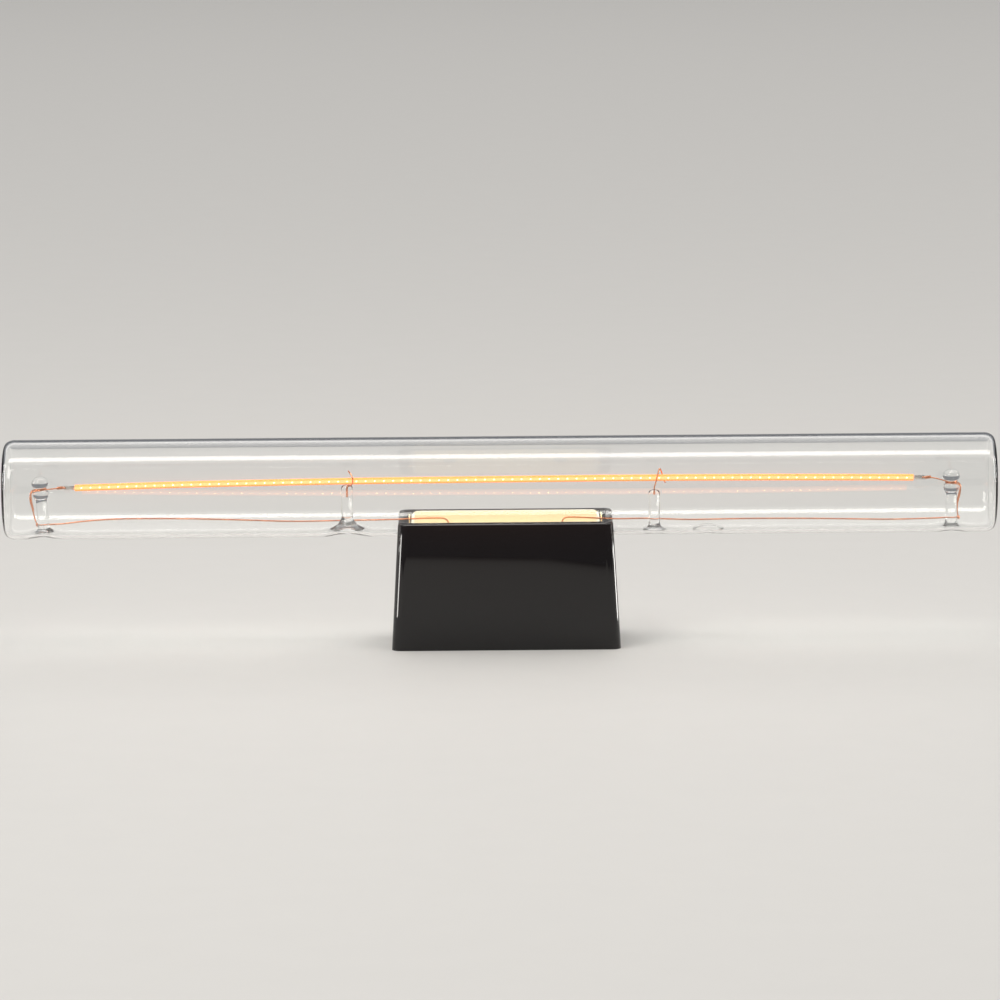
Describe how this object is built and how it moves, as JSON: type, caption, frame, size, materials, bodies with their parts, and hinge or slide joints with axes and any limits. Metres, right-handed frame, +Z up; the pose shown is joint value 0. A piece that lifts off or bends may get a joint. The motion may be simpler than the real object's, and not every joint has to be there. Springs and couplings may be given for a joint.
{
  "type": "linear filament lamp in a push-in holder",
  "caption": "Clear glass tube lamp with one long straight filament, pushed by the cap at its middle into a drafted box holder that stands on its base or is screwed to a wall.",
  "frame": {"origin": "centre of the holder's base, on the surface it stands on", "axes": "+X along the glass tube, +Z up from the base to the tube, -Y the side the picture shows"},
  "size_m": [0.3, 0.033, 0.0625],
  "materials": {
    "clear_glass": "clear, fire polished",
    "gloss_black": "high gloss moulding",
    "cap_white": "fine satin moulding",
    "cement": "matt, smoothed by hand",
    "filament_coat": "translucent amber silicone",
    "copper_wire": "bright drawn wire",
    "tinned_metal": "tinned",
    "spring_brass": "bright rolled sheet",
    "terminal_brass": "turned and milled",
    "zinc_steel": "zinc plated",
    "insulating_white": "fine matt moulding",
    "base_black": "fine matt moulding",
    "board_green": "coated laminate",
    "chip_black": "moulded epoxy",
    "can_aluminium": "drawn can",
    "resistor_body": "lacquered"
  },
  "bodies": {
    "root": {"glass_tube": "clear_glass", "led_filament": "filament_coat", "filament_tab_left": "tinned_metal", "filament_tab_right": "tinned_metal", "end_lead_left": "copper_wire", "end_lead_right": "copper_wire", "feed_wire_left": "copper_wire", "feed_wire_right": "copper_wire", "hook_wire_left": "copper_wire", "hook_wire_right": "copper_wire", "cap_shell": "cap_white", "cap_cement": "cement", "cap_lid": "cap_white", "cap_contact_left": "terminal_brass", "cap_contact_right": "terminal_brass", "driver_board": "board_green", "bridge_rectifier": "chip_black", "driver_chip": "chip_black", "smoothing_capacitor": "can_aluminium", "fuse_resistor": "resistor_body", "holder_housing": "gloss_black", "base_plate": "base_black", "contact_carrier": "insulating_white", "contact_spring_left": "spring_brass", "contact_spring_right": "spring_brass", "retaining_clip_left": "spring_brass", "retaining_clip_right": "spring_brass", "terminal_clamp_left": "terminal_brass", "terminal_clamp_right": "terminal_brass", "terminal_screws": "zinc_steel"}
  },
  "joints": []
}
